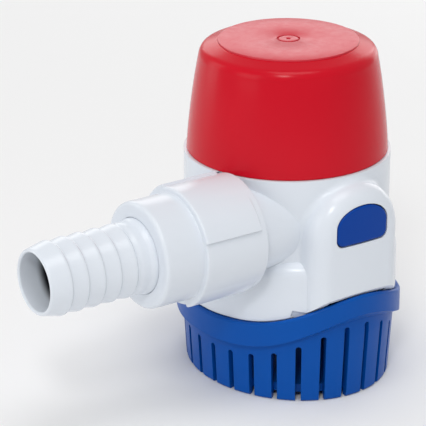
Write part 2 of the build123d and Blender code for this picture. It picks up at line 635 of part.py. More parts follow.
with BuildPart() as field_magnets:
    for middle in (0, 180):
        with BuildSketch(Plane.XY.offset(CORE_BOTTOM - 2)):
            outer_r = CAN_R - CAN_WALL
            inner_r = outer_r - MAGNET_T
            spread = math.radians(MAGNET_SPAN / 2)
            turn = math.radians(middle)
            with BuildLine():
                CenterArc((0, 0), outer_r, middle - MAGNET_SPAN / 2, MAGNET_SPAN)
                CenterArc((0, 0), inner_r, middle - MAGNET_SPAN / 2, MAGNET_SPAN)
                for end in (turn - spread, turn + spread):
                    Line((inner_r * math.cos(end), inner_r * math.sin(end)),
                         (outer_r * math.cos(end), outer_r * math.sin(end)))
            make_face()
        extrude(amount=CORE_LENGTH + 4)
field_magnets.part.label = "field_magnets"

with BuildPart() as motor_end_cap:
    add(disc(CAN_R - CAN_WALL, CAN_TOP - 1.5, CAN_TOP))
    add(disc(CAN_R - 0.4, CAN_TOP, CAN_TOP + 1.5))
    add(disc(BUSH_R + 1.5, CAN_TOP, CAN_TOP + 3.5))
    add(disc(BUSH_R, 0, 2 * SPAN), mode=Mode.SUBTRACT)
    for side in (1, -1):
        add(cuboid((min(side * 8.6, side * 9.4), -2.3, 0), (max(side * 8.6, side * 9.4), 2.3, 2 * SPAN)),
            mode=Mode.SUBTRACT)
motor_end_cap.part.label = "motor_end_cap"

with BuildPart() as brush_arms:
    for side in (1, -1):
        xs = sorted((side * 8.8, side * 9.2))
        add(cuboid((xs[0], -2, COMMUTATOR_BOTTOM), (xs[1], 2, CAN_TOP + 3)))
brush_arms.part.label = "brush_arms"

with BuildPart() as brushes:
    for side in (1, -1):
        xs = sorted((side * (COMMUTATOR_R + RUNNING), side * 8.8))
        add(cuboid((xs[0], -1.3, COMMUTATOR_BOTTOM + 0.5), (xs[1], 1.3, COMMUTATOR_BOTTOM + 3.1)))
brushes.part.label = "brushes"

with BuildPart() as terminals:
    for side in (1, -1):
        xs = sorted((side * 9.2, side * 10.0))
        add(cuboid((xs[0], -1.6, CAN_TOP + 1.5), (xs[1], 1.6, CAN_TOP + 7)))
        with BuildSketch(Plane.YZ.offset(side * 8)):
            with Locations((0, CAN_TOP + 5.4)):
                Circle(0.8)
        extrude(amount=side * 4, mode=Mode.SUBTRACT)
terminals.part.label = "terminals"

with BuildPart() as upper_bush:
    add(ring(BUSH_R, SHAFT_R + RUNNING, CAN_TOP - 0.5, CAN_TOP - 0.5 + BUSH_LENGTH))
upper_bush.part.label = "upper_bush"

with BuildPart() as lower_bush:
    add(ring(BUSH_R, SHAFT_R + RUNNING, CAN_BOTTOM, CAN_BOTTOM + BUSH_LENGTH))
lower_bush.part.label = "lower_bush"

with BuildPart() as shaft_seal:
    add(ring(SEAL_R, SHAFT_R + 2.4, CHAMBER_TOP, WELL_FLOOR))
    add(ring(SHAFT_R + 2.4, SHAFT_R + RUNNING, CHAMBER_TOP, CHAMBER_TOP + 0.9))
shaft_seal.part.label = "shaft_seal"

with BuildPart() as seal_retainer:
    add(ring(SEAL_R + 2, SHAFT_R + 1.2, WELL_FLOOR, WELL_FLOOR + 0.8))
seal_retainer.part.label = "seal_retainer"

# ================================================================ rotor
with BuildPart() as rotor_shaft:
    add(disc(SHAFT_R, IMPELLER_BOTTOM - 0.6, SHAFT_TOP))
    chamfer(rotor_shaft.edges(), length=0.3)
rotor_shaft.part.label = "rotor_shaft"

with BuildPart() as armature_core:
    add(disc(CORE_R, CORE_BOTTOM, CORE_TOP))
    with BuildSketch(Plane.XY.offset(CORE_BOTTOM)):
        with PolarLocations(CORE_R * 0.68, CORE_SLOTS):
            Circle(2.4)
        with PolarLocations(CORE_R * 0.9, CORE_SLOTS):
            Rectangle(4.0, 1.0)
    extrude(amount=CORE_LENGTH, mode=Mode.SUBTRACT)
    add(disc(SHAFT_R, 0, 2 * SPAN), mode=Mode.SUBTRACT)
armature_core.part.label = "armature_core"

with BuildPart() as armature_windings:
    for low, high in ((CORE_BOTTOM - 3.5, CORE_BOTTOM), (CORE_TOP, CORE_TOP + 3.5)):
        add(ring(CORE_R - 1.2, SHAFT_R + 1.2, low, high))
    end_rims = armature_windings.edges().group_by(Axis.Z)
    fillet(end_rims[0] + end_rims[-1], radius=1.2)
    with BuildSketch(Plane.XY.offset(CORE_BOTTOM - 0.5)):
        with PolarLocations(CORE_R * 0.68, CORE_SLOTS):
            Circle(2.3)
    extrude(amount=CORE_LENGTH + 1)
armature_windings.part.label = "armature_windings"

with BuildPart() as commutator:
    add(ring(COMMUTATOR_R, SHAFT_R, COMMUTATOR_BOTTOM, COMMUTATOR_BOTTOM + COMMUTATOR_LENGTH))
    with BuildSketch(Plane.XY.offset(COMMUTATOR_BOTTOM)):
        with PolarLocations(COMMUTATOR_R, CORE_SLOTS):
            Rectangle(1.6, 0.4)
    extrude(amount=COMMUTATOR_LENGTH, mode=Mode.SUBTRACT)
commutator.part.label = "commutator"

with BuildPart() as impeller:
    add(disc(IMPELLER_HUB_R, IMPELLER_BOTTOM, IMPELLER_TOP))
    add(disc(IMPELLER_R, IMPELLER_TOP - 1.4, IMPELLER_TOP))
    for k in range(VANE_COUNT):
        near, far = [], []
        for step in range(5):
            share = step / 4
            reach = IMPELLER_HUB_R - 0.8 + (IMPELLER_R + 0.8 - IMPELLER_HUB_R) * share
            lean = math.radians(360 * k / VANE_COUNT - VANE_SWEEP * share ** 1.3)
            half_t = VANE_T / 2 / reach
            near.append((reach * math.cos(lean - half_t), reach * math.sin(lean - half_t)))
            far.append((reach * math.cos(lean + half_t), reach * math.sin(lean + half_t)))
        with BuildSketch(Plane.XY.offset(IMPELLER_BOTTOM)):
            with BuildLine():
                Spline(*near)
                Spline(*far)
                Line(near[0], far[0])
                Line(near[-1], far[-1])
            make_face()
    extrude(amount=IMPELLER_TOP - IMPELLER_BOTTOM)
    add(disc(SHAFT_R, 0, SPAN), mode=Mode.SUBTRACT)
impeller.part.label = "impeller"

with BuildPart() as thrust_washer:
    add(ring(BUSH_R + 0.2, SHAFT_R, CAN_BOTTOM + BUSH_LENGTH + 0.1, CAN_BOTTOM + BUSH_LENGTH + 0.7))
thrust_washer.part.label = "thrust_washer"

# ================================================================ cable gland
with BuildPart() as cable_gland:
    with BuildSketch(gland_plane(BODY_R - BODY_WALL - 0.6)):
        Circle(GLAND_R)
    extrude(amount=BODY_WALL + 0.6)
    with BuildSketch(gland_plane(BODY_R + 0.2)):
        Circle(GLAND_FLANGE_R)
    extrude(amount=1.4)
    with BuildSketch(gland_plane(BODY_R)):
        Circle(GLAND_R)
    with BuildSketch(gland_plane(BODY_R + GLAND_REACH)):
        Circle(CABLE_R + 0.9)
    loft()
    with BuildSketch(gland_plane(BODY_R - 2 * BODY_WALL)):
        Circle(CABLE_R)
    extrude(amount=4 * GLAND_REACH, mode=Mode.SUBTRACT)
cable_gland.part.label = "cable_gland"

# ================================================================ discharge union
with BuildPart() as outlet_gasket:
    add(outlet_turning([(THREAD_END, OUTLET_BORE_R + 0.3), (THREAD_END + GASKET_T, OUTLET_BORE_R + 0.3),
                        (THREAD_END + GASKET_T, THREAD_ROOT_R), (THREAD_END, THREAD_ROOT_R)]))
outlet_gasket.part.label = "outlet_gasket"

with BuildPart() as union_nut:
    with BuildSketch(outlet_plane):
        with BuildLine():
            bore_r = THREAD_R + LOOSE
            Polyline((NUT_BACK, bore_r), (NUT_BACK, NUT_R), (NUT_STEP, NUT_R),
                     (NUT_STEP, NUT_COLLAR_R), (NUT_FRONT, NUT_COLLAR_R),
                     (NUT_FRONT, NUT_MOUTH_R), (NUT_FRONT - NUT_FRONT_T, NUT_MOUTH_R),
                     (NUT_FRONT - NUT_FRONT_T, TAIL_HUB_R + LOOSE),
                     (TAIL_FLANGE_END + 0.1, TAIL_HUB_R + LOOSE),
                     (TAIL_FLANGE_END + 0.1, TAIL_FLANGE_R + LOOSE),
                     (TAIL_BACK - 0.5, TAIL_FLANGE_R + LOOSE),
                     (TAIL_BACK - 0.5, bore_r), (NUT_BACK, bore_r))
        make_face()
    revolve(axis=outlet_axis)
    for k in range(NUT_GRIP_COUNT):
        first = math.radians(NUT_GRIP_START + 360 * k / NUT_GRIP_COUNT)
        last = first + math.radians(NUT_GRIP_SPAN)
        grip = [(NUT_R + NUT_GRIP_H, first), (NUT_R + NUT_GRIP_H * 0.55, (first + last) / 2),
                (NUT_R - RUNNING, last), (NUT_R - NUT_GRIP_H, first)]
        spots = [(r * math.cos(a), r * math.sin(a)) for r, a in grip]
        with BuildSketch(across(NUT_BACK + NUT_GRIP_MARGIN)):
            with BuildLine():
                ThreePointArc(*spots[:3])
                Polyline(spots[2], spots[3], spots[0])
            make_face()
        extrude(amount=NUT_LENGTH - 2 * NUT_GRIP_MARGIN)
    for rim_x, rim_r, round_r in ((NUT_FRONT, NUT_COLLAR_R, 1.2), (NUT_STEP, NUT_R, 0.9)):
        fillet([e for e in union_nut.edges().filter_by(GeomType.CIRCLE)
                if abs(e.arc_center.X - rim_x) < 0.01 and abs(e.radius - rim_r) < 0.01
                and e.is_closed], radius=round_r)
union_nut.part.label = "union_nut"

with BuildPart() as hose_tail:
    crest_xs = [BARB_END - BARB_TIP_LENGTH - k * BARB_PITCH for k in range(BARB_CREST_COUNT)]
    barb_outline = [(BARB_END, BARB_BORE_R + 0.4), (BARB_END, BARB_TIP_R - 0.4),
                    (BARB_END - 0.4, BARB_TIP_R)]
    for crest_x in crest_xs:
        barb_outline.append((crest_x + 0.35, BARB_R))
        barb_outline.append((crest_x - 0.1, BARB_R))
        barb_outline.append((crest_x - 0.8, BARB_VALLEY_R))
    barb_outline += [(crest_xs[-1] - 2.2, BARB_ROOT_R), (NUT_FRONT + 1.8, BARB_ROOT_R),
                     (NUT_FRONT + 0.8, FLARE_R), (TAIL_HUB_END, FLARE_R),
                     (TAIL_HUB_END, TAIL_HUB_R), (TAIL_FLANGE_END, TAIL_HUB_R),
                     (TAIL_FLANGE_END, TAIL_FLANGE_R), (TAIL_BACK, TAIL_FLANGE_R),
                     (TAIL_BACK, TAIL_HUB_BORE_R), (TAIL_HUB_END - 1.5, TAIL_HUB_BORE_R),
                     (TAIL_HUB_END + 1.5, BARB_BORE_R), (BARB_END - 0.4, BARB_BORE_R)]
    add(outlet_turning(barb_outline))
hose_tail.part.label = "hose_tail"

# ================================================================ check valve
SEAT_END = TAIL_BACK + SEAT_T
PIN_X = SEAT_END + FLAP_GAP + FLAP_T / 2
PIN_Z = OUTLET_Z + FLAP_PIN_RISE


def pin_bar(radius, half_length):
    """Round bar on the flap's pin axis."""
    with BuildPart() as block:
        with BuildSketch(Plane(origin=(PIN_X, OUTLET_Y, PIN_Z), z_dir=(0, 1, 0))):
            Circle(radius)
        extrude(amount=half_length, both=True)
    return block.part


with BuildPart() as valve_seat:
    add(outlet_turning([(TAIL_BACK + 0.1, SEAT_BORE_R), (SEAT_END, SEAT_BORE_R),
                        (SEAT_END, SEAT_BORE_R + 0.8), (SEAT_END - SEAT_LIP, SEAT_BORE_R + 1.2),
                        (SEAT_END - SEAT_LIP, TAIL_HUB_BORE_R),
                        (TAIL_BACK + 0.1, TAIL_HUB_BORE_R)]))
    add(pin_bar(FLAP_KNUCKLE_R + 0.2, FLAP_KNUCKLE_HALF_W + LOOSE), mode=Mode.SUBTRACT)
    for side in (1, -1):
        ys = sorted((side * (FLAP_KNUCKLE_HALF_W + LOOSE), side * FLAP_PIN_HALF_L))
        add(cuboid((SEAT_END - 2 * SEAT_LIP, OUTLET_Y + ys[0], PIN_Z - FLAP_EAR_R),
                   (PIN_X + FLAP_EAR_R, OUTLET_Y + ys[1], PIN_Z + FLAP_EAR_R)))
    add(pin_bar(FLAP_PIN_R, 2 * FLAP_PIN_HALF_L), mode=Mode.SUBTRACT)
valve_seat.part.label = "valve_seat"

with BuildPart() as flap_pin:
    add(pin_bar(FLAP_PIN_R, FLAP_PIN_HALF_L))
flap_pin.part.label = "flap_pin"

with BuildPart() as check_flap:
    add(outlet_bar(FLAP_R, SEAT_END + FLAP_GAP, SEAT_END + FLAP_GAP + FLAP_T))
    add(pin_bar(FLAP_KNUCKLE_R, FLAP_KNUCKLE_HALF_W))
    for side in (1, -1):
        ys = sorted((side * FLAP_KNUCKLE_HALF_W, side * FLAP_R))
        add(cuboid((SEAT_END, OUTLET_Y + ys[0], PIN_Z - FLAP_SHOULDER),
                   (PIN_X + FLAP_T, OUTLET_Y + ys[1], PIN_Z + FLAP_R)), mode=Mode.SUBTRACT)
    add(outlet_bar(2 * FLAP_R, SEAT_END - FLAP_R, SEAT_END + FLAP_GAP), mode=Mode.SUBTRACT)
    add(pin_bar(FLAP_PIN_R + RUNNING, FLAP_R), mode=Mode.SUBTRACT)
check_flap.part.label = "check_flap"

# ================================================================ write one file per piece
os.makedirs("parts", exist_ok=True)
pieces = [strainer_base, release_tab_right, release_tab_left, body_housing, volute_cover,
          cover_screws, motor_cap, cap_label, cap_seal, motor_can, field_magnets, motor_end_cap,
          brush_arms, brushes, terminals, upper_bush, lower_bush, shaft_seal, seal_retainer,
          rotor_shaft, armature_core, armature_windings, commutator, impeller, thrust_washer,
          cable_gland, outlet_gasket, union_nut, hose_tail, valve_seat, flap_pin, check_flap]
for piece in pieces:
    export_step(piece.part, f"parts/{piece.part.label}.step")
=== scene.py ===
"""Finish pass for a small submersible bilge pump.

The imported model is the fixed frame. Turned and moulded pieces that show are rebuilt as
numpy surfaces with softened edges, and every piece gets a procedural finish.
"""
import math

import bmesh
import bpy
import numpy as np
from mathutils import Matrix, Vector


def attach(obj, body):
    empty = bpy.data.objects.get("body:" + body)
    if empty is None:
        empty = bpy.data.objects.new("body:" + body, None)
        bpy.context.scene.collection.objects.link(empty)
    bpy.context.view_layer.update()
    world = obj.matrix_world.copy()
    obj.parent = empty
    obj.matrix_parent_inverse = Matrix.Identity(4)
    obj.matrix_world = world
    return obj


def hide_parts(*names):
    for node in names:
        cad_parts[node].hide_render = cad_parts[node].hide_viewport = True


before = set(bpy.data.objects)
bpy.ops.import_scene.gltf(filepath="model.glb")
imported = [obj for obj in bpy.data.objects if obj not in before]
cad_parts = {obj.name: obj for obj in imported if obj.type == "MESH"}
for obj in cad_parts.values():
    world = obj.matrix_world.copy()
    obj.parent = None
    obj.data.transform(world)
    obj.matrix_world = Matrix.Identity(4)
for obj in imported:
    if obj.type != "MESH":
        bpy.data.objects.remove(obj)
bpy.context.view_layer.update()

bl_info = {
    "name": "Bilge pump finish",
    "version": (1, 0, 0),
    "blender": (4, 5, 0),
    "location": "3D View > Sidebar > Bilge Pump",
    "description": "Builds the moulded pieces, finishes and studio of a small bilge pump",
    "category": "Object",
}

MM = 0.001
WORLD_STRENGTH = 0.50
# name, to the camera's right, towards the camera, up, width, height (metres), watts
SOFTBOXES = (
    ("top_softbox", 0.05, 0.26, 0.91, 0.55, 0.40, 2.1),
    ("front_softbox", -0.12, 0.85, 0.80, 0.18, 0.18, 2.6),
    ("fill_softbox", -0.78, 0.60, 0.35, 0.50, 0.50, 1.1),
    ("rear_softbox", 0.0, -0.95, 0.46, 1.1, 0.45, 2.5),
    ("left_softbox", -0.67, -0.20, 0.22, 0.25, 0.5, 0.5),
    ("right_softbox", 0.40, -0.60, 0.22, 0.3, 0.5, 0.7),
)
OUTLET_Y, OUTLET_Z = 14.0 * MM, 53.0 * MM     # discharge axis, parallel to X
AXIS_X, AXIS_Z = 0, 2

# camera and floor, in millimetres unless said
CAMERA_SPOT = (383.1, 518.3, 304.1)
CAMERA_TARGET = (18.2, -12.5, 47.3)
LENS_MM, SENSOR_MM = 194.4, 36.0
CAMERA_RIGHT = Vector((-0.824, 0.566, 0.0))
CAMERA_TOWARD = Vector((0.566, 0.824, 0.0))
LIGHT_TARGET = (0, 0, 50)
FLOOR_HALF, FLOOR_DROP = 2500, 0.05
ROUND_STEPS = 224           # points round the discharge pieces
CAP_STEPS = 256
NUT_PADS = 4
NUT_PAD_FIRST, NUT_PAD_SPAN = 20.0, 36.0      # degrees
BARB_COUNT = 5


# ------------------------------------------------------------------ colours
def linear(text):
    """Linear RGBA of an sRGB hex colour: c/12.92 below 0.04045, else ((c+0.055)/1.055)^2.4."""
    c = np.array([int(text[i:i + 2], 16) for i in (1, 3, 5)]) / 255.0
    c = np.where(c <= 0.04045, c / 12.92, ((c + 0.055) / 1.055) ** 2.4)
    return (*c.tolist(), 1.0)


# ------------------------------------------------------------------ surfaces
def softened(points, insets, steps=5):
    """A closed outline with each corner P replaced by a quadratic Bezier arc.

    The arc starts at P + d*u and ends at P + d*v, where u and v are the unit directions to the
    neighbouring corners and d is that corner's inset: (1-t)^2 S + 2t(1-t) P + t^2 E.
    One more point beyond each end of an arc keeps the flats flat when they are shaded smooth.
    """
    p = np.asarray(points, float)
    before, after = np.roll(p, 1, 0) - p, np.roll(p, -1, 0) - p
    reach = np.stack([np.linalg.norm(before, axis=1), np.linalg.norm(after, axis=1)])
    d = np.minimum(np.asarray(insets, float), 0.42 * reach.min(0))[:, None]
    u, v = before / reach[0][:, None], after / reach[1][:, None]
    t = np.linspace(0, 1, steps)[None, :, None]
    start, end, mid = (p + d * u)[:, None], (p + d * v)[:, None], p[:, None]
    arc = (1 - t) ** 2 * start + 2 * t * (1 - t) * mid + t ** 2 * end
    guard = 0.12 * d[:, None]
    arc = np.concatenate([start + guard * u[:, None], arc, end + guard * v[:, None]], 1)
    return arc.reshape(-1, p.shape[1])


def surface(name, grid, wrap_rows=True, wrap_columns=True):
    """A mesh from a grid of points: each cell (i, j) is the quad of its four neighbours.

    Lines that meet in one point, such as a pole, are merged and faces are turned outwards.
    """
    rows, columns = grid.shape[:2]
    i = np.arange(rows if wrap_rows else rows - 1)
    j = np.arange(columns if wrap_columns else columns - 1)
    i, j = (a.ravel() for a in np.meshgrid(i, j, indexing="ij"))
    i2, j2 = (i + 1) % rows, (j + 1) % columns
    quads = np.stack([i * columns + j, i2 * columns + j, i2 * columns + j2, i * columns + j2], 1)
    mesh = bpy.data.meshes.new(name)
    mesh.vertices.add(rows * columns)
    mesh.vertices.foreach_set("co", grid.reshape(-1).astype(np.float32))
    mesh.loops.add(quads.size)
    mesh.loops.foreach_set("vertex_index", quads.reshape(-1).astype(np.int32))
    mesh.polygons.add(len(quads))
    mesh.polygons.foreach_set("loop_start", np.arange(0, quads.size, 4, dtype=np.int32))
    mesh.update(calc_edges=True)
    tidy(mesh, 1e-6)
    return link(name, mesh)


def tidy(mesh, distance):
    """Merges doubled vertices, turns the faces of a closed shell outwards and shades it smooth."""
    work = bmesh.new()
    work.from_mesh(mesh)
    bmesh.ops.remove_doubles(work, verts=work.verts, dist=distance)
    bmesh.ops.dissolve_degenerate(work, edges=work.edges, dist=distance / 4)
    bmesh.ops.recalc_face_normals(work, faces=work.faces)
    work.to_mesh(mesh)
    work.free()
    mesh.polygons.foreach_set("use_smooth", np.ones(len(mesh.polygons), dtype=bool))


def link(name, mesh):
    """A new object at the origin that shows the mesh."""
    piece = bpy.data.objects.new(name, mesh)
    bpy.context.scene.collection.objects.link(piece)
    return piece


def turned(outline, angles, axis, centre=(0.0, 0.0)):
    """Points of an outline (along, radius) carried round an axis.

    Round Z a point is (r cos a, r sin a, h); round the discharge axis it is
    (h, Y + r cos a, Z + r sin a). Radius may be one value per row, or per row and angle.
    """
    along, radius = outline
    radius = radius if np.ndim(radius) == 2 else np.asarray(radius)[:, None] + 0 * angles[None, :]
    height = np.asarray(along)[:, None] + 0 * radius
    c, s = radius * np.cos(angles), radius * np.sin(angles)
    if axis == AXIS_Z:
        return np.stack([centre[0] + c, centre[1] + s, height], 2)
    return np.stack([height, centre[0] + c, centre[1] + s], 2)


def smoothstep(x, low, high):
    """0 below low, 1 above high, and 3t^2 - 2t^3 between."""
    t = np.clip((x - low) / (high - low), 0, 1)
    return t * t * (3 - 2 * t)


def sharp_edges(piece, degrees):
    """Keeps edges sharper than the angle crisp in the smooth shading."""
    piece.data.set_sharp_from_angle(angle=math.radians(degrees))


# ------------------------------------------------------------------ materials
def add_node(tree, kind, settings=None, **links):
    """Adds a shader node, sets its fields and input values, and links named inputs."""
    node = tree.nodes.new(kind)
    for key, value in (settings or {}).items():
        if key in node.inputs:
            node.inputs[key].default_value = value
        else:
            setattr(node, key, value)
    for key, source in links.items():
        tree.links.new(source, node.inputs[key])
    return node


def blank_material(name):
    """A new node material with an output only."""
    material = bpy.data.materials.new(name)
    material.use_nodes = True
    material.node_tree.nodes.clear()
    return material, material.node_tree


def finish_material(tree, shader):
    """Joins the shader to the material's output."""
    add_node(tree, "ShaderNodeOutputMaterial", {}, Surface=shader.outputs[0])


def moulded(name, colour, roughness=0.24, peel=1.6, peel_depth=0.004, ior=1.53, shade=0.04,
            edge=0.22, glow=0.0, glow_mm=0.8, scuff=0.08, specular=0.5, bore=None):
    """Injection-moulded plastic: a polished tool leaves a faint orange peel, and handling leaves
    fine scuffs that break up the highlight. Sizes in millimetres."""
    material, tree = blank_material(name)
    place = add_node(tree, "ShaderNodeTexCoord").outputs["Object"]
    flow = add_node(tree, "ShaderNodeTexNoise", {"Scale": 1 / (14 * MM), "Detail": 2.0},
                    Vector=place)
    base = (*colour,)
    deep = (*[c * (1 - shade) for c in base[:3]], 1.0)
    tint = add_node(tree, "ShaderNodeMix", {"data_type": "RGBA"}, Factor=flow.outputs["Fac"])
    tint.inputs[6].default_value, tint.inputs[7].default_value = base, deep
    worn = add_node(tree, "ShaderNodeTexNoise", {"Scale": 1 / (2.5 * MM), "Detail": 6.0,
                                                 "Roughness": 0.7}, Vector=place)
    rough = add_node(tree, "ShaderNodeMapRange", {"From Min": 0.35, "From Max": 0.7,
                                                  "To Min": roughness, "To Max": roughness + scuff},
                     Value=worn.outputs["Fac"])
    peel_noise = add_node(tree, "ShaderNodeTexNoise", {"Scale": 1 / (peel * MM), "Detail": 2.0},
                          Vector=place)
    soft = add_node(tree, "ShaderNodeBevel", {"Radius": edge * MM, "samples": 4})
    bump = add_node(tree, "ShaderNodeBump", {"Strength": 0.35, "Distance": peel_depth * MM},
                    Height=peel_noise.outputs["Fac"], Normal=soft.outputs["Normal"])
    shader = add_node(tree, "ShaderNodeBsdfPrincipled", {
        "IOR": ior, "Subsurface Weight": glow, "Subsurface Scale": glow_mm * MM,
        "Specular IOR Level": specular},
        Roughness=rough.outputs["Result"], Normal=bump.outputs["Normal"])
    tone = tint.outputs[2]
    if bore:
        tone = darkened_bore(tree, place, tone, *bore)
    tree.links.new(tone, shader.inputs["Base Color"])
    finish_material(tree, shader)
    return material


def darkened_bore(tree, place, tone, radius, pale_x, dark_x, dark):
    """Stands in for the shadow deep in a tube: within the radius, the tone darkens along x."""
    axes = add_node(tree, "ShaderNodeSeparateXYZ", Vector=place)
    off_axis = add_node(tree, "ShaderNodeCombineXYZ", Y=axes.outputs["Y"], Z=axes.outputs["Z"])
    reach = add_node(tree, "ShaderNodeVectorMath", {"operation": "DISTANCE"})
    tree.links.new(off_axis.outputs["Vector"], reach.inputs[0])
    reach.inputs[1].default_value = (0, OUTLET_Y, OUTLET_Z)
    depth = add_node(tree, "ShaderNodeMapRange", {"interpolation_type": "SMOOTHSTEP",
                                                  "From Min": pale_x, "From Max": dark_x},
                     Value=axes.outputs["X"])
    inside = add_node(tree, "ShaderNodeMath", {"operation": "LESS_THAN"})
    tree.links.new(reach.outputs["Value"], inside.inputs[0])
    inside.inputs[1].default_value = radius
    share = add_node(tree, "ShaderNodeMath", {"operation": "MULTIPLY"})
    tree.links.new(depth.outputs["Result"], share.inputs[0])
    tree.links.new(inside.outputs["Value"], share.inputs[1])
    mix = add_node(tree, "ShaderNodeMix", {"data_type": "RGBA"}, Factor=share.outputs["Value"])
    tree.links.new(tone, mix.inputs[6])
    mix.inputs[7].default_value = dark
    return mix.outputs[2]


def metal(name, colour, roughness=0.3, grain_mm=0.25, stretch=(1, 1, 12), bump_mm=0.003):
    """Machined, drawn or plated metal: fine tool lines along one direction vary its roughness."""
    material, tree = blank_material(name)
    place = add_node(tree, "ShaderNodeTexCoord").outputs["Object"]
    turned_lines = add_node(tree, "ShaderNodeMapping", {"Scale": stretch}, Vector=place)
    grain = add_node(tree, "ShaderNodeTexNoise", {"Scale": 1 / (grain_mm * MM), "Detail": 3.0},
                     Vector=turned_lines.outputs["Vector"])
    rough = add_node(tree, "ShaderNodeMapRange", {"To Min": roughness * 0.8,
                                                  "To Max": roughness * 1.3},
                     Value=grain.outputs["Fac"])
    bump = add_node(tree, "ShaderNodeBump", {"Strength": 0.3, "Distance": bump_mm * MM},
                    Height=grain.outputs["Fac"])
    shader = add_node(tree, "ShaderNodeBsdfPrincipled", {"Metallic": 1.0},
                      Roughness=rough.outputs["Result"], Normal=bump.outputs["Normal"])
    shader.inputs["Base Color"].default_value = colour
    finish_material(tree, shader)
    return material


def matt(name, colour, roughness=0.7, grain_mm=0.4, depth_mm=0.03, shade=0.3):
    """Rubber, carbon, ferrite or wound wire: a fine dull grain with a little colour drift."""
    material, tree = blank_material(name)
    place = add_node(tree, "ShaderNodeTexCoord").outputs["Object"]
    grain = add_node(tree, "ShaderNodeTexNoise", {"Scale": 1 / (grain_mm * MM), "Detail": 4.0},
                     Vector=place)
    base = (*colour,)
    tint = add_node(tree, "ShaderNodeMix", {"data_type": "RGBA"}, Factor=grain.outputs["Fac"])
    tint.inputs[6].default_value = base
    tint.inputs[7].default_value = (*[c * (1 - shade) for c in base[:3]], 1.0)
    rough = add_node(tree, "ShaderNodeMapRange", {"To Min": roughness - 0.1,
                                                  "To Max": roughness + 0.1},
                     Value=grain.outputs["Fac"])
    bump = add_node(tree, "ShaderNodeBump", {"Strength": 0.4, "Distance": depth_mm * MM},
                    Height=grain.outputs["Fac"])
    shader = add_node(tree, "ShaderNodeBsdfPrincipled", {"IOR": 1.5},
                      Roughness=rough.outputs["Result"], Normal=bump.outputs["Normal"])
    tree.links.new(tint.outputs[2], shader.inputs["Base Color"])
    finish_material(tree, shader)
    return material


def dress(piece, material, body=None, stands_for=()):
    """Gives a piece its material, and a new piece its body and slot, and hides the nodes that it
    stands for.
    """
    piece.data.materials.clear()
    piece.data.materials.append(material)
    if body:
        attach(piece, body)
    if stands_for:
        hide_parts(*stands_for)
    return piece


def finish_node(node, material):
    """Gives a CAD node that stays its material."""
    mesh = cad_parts[node].data
    mesh.materials.clear()
    mesh.materials.append(material)


# ------------------------------------------------------------------ settings
def length(name, text, default):
    """A length in metres that shows in the panel."""
    return bpy.props.FloatProperty(name=name, description=text, default=default * MM,
                                   unit="LENGTH", subtype="DISTANCE", precision=5)


def colour(name, text, default):
    """A colour that shows in the panel, from its sRGB hex."""
    return bpy.props.FloatVectorProperty(name=name, description=text, subtype="COLOR", size=4,
                                         min=0.0, max=1.0, default=linear(default))


class PumpSizes(bpy.types.PropertyGroup):
    """Sizes of the rebuilt pieces."""
    cap_r: length("Cap radius", "Radius of the motor cap at its rim", 30.0)
    cap_upper_r: length("Cap upper radius", "Radius where the cap's shoulder starts", 26.5)
    cap_base: length("Cap base", "Height of the cap's rim", 69.0)
    cap_upper: length("Cap upper", "Height where the shoulder starts", 97.2)
    cap_top: length("Cap top", "Height of the cap's flat top", 101.8)
    cap_bulge: length("Cap bulge", "How far the side bows out at mid height", 0.45)
    cap_corner: length("Shoulder height", "Height where side and cone would meet", 99.9)
    cap_corner_r: length("Shoulder radius", "Radius where side and cone would meet", 26.2)
    cap_wall: length("Cap wall", "Thickness of the cap's wall", 2.2)
    spigot_r: length("Spigot radius", "Radius of the cap's spigot in the housing", 28.3)
    spigot_h: length("Spigot height", "How far the spigot reaches into the housing", 4.4)
    groove_r: length("Seal groove radius", "Radius of the bottom of the seal's groove", 26.95)
    groove_w: length("Seal groove width", "Width of the seal's groove", 2.0)
    label_r: length("Disc radius", "Radius of the raised disc on the cap", 20.8)
    label_t: length("Disc thickness", "How far the disc stands up", 0.5)
    nut_back: length("Nut back", "X of the nut's back face", 29.0)
    nut_step: length("Nut step", "X where the nut steps down", 49.8)
    nut_front: length("Nut front", "X of the nut's front face", 62.3)
    nut_r: length("Nut radius", "Radius of the nut's grip", 17.2)
    nut_collar_r: length("Nut collar radius", "Radius of the nut's front collar", 15.6)
    grip_h: length("Grip height", "How far a grip pad stands out", 0.8)
    nut_bore: length("Nut bore", "Radius inside the nut's threaded part", 15.2)
    nut_flange_r: length("Nut flange seat", "Radius of the room for the tail's flange", 14.7)
    nut_hub_r: length("Nut hub bore", "Radius of the room for the tail's hub", 13.9)
    nut_mouth_r: length("Nut mouth", "Radius of the opening that the tail comes out of", 11.15)
    nut_front_t: length("Nut front wall", "Thickness of the nut's front wall", 2.0)
    seat_front: length("Flange seat front", "X of the front of the flange's room", 45.6)
    seat_back: length("Flange seat back", "X of the back of the flange's room", 43.0)
    tail_back: length("Tail back", "X of the tail's back face", 43.5)
    flange_r: length("Tail flange radius", "Radius of the tail's flange", 14.4)
    flange_t: length("Tail flange", "Thickness of the tail's flange", 2.0)
    hub_r: length("Tail hub radius", "Radius of the tail's hub", 13.6)
    hub_front: length("Tail hub front", "X where the tail's hub ends", 60.2)
    hub_bore_r: length("Tail hub bore", "Radius of the hub's bore", 11.6)
    flare_r: length("Tail flare radius", "Radius of the tail in the nut's mouth", 11.05)
    bore_r: length("Tail bore", "Radius of the tail's bore", 8.4)
    barb_pitch: length("Barb pitch", "Distance between barb crests", 5.25)
    barb_tip: length("Barb tip", "From the last crest to the mouth", 6.0)
    barb_depth: length("Barb depth", "Height of a barb crest over its valley", 0.75)
    barb_r: length("Barb radius", "Radius over the barb crests", 10.7)
    barb_end: length("Barb end", "X of the hose tail's mouth", 96.0)


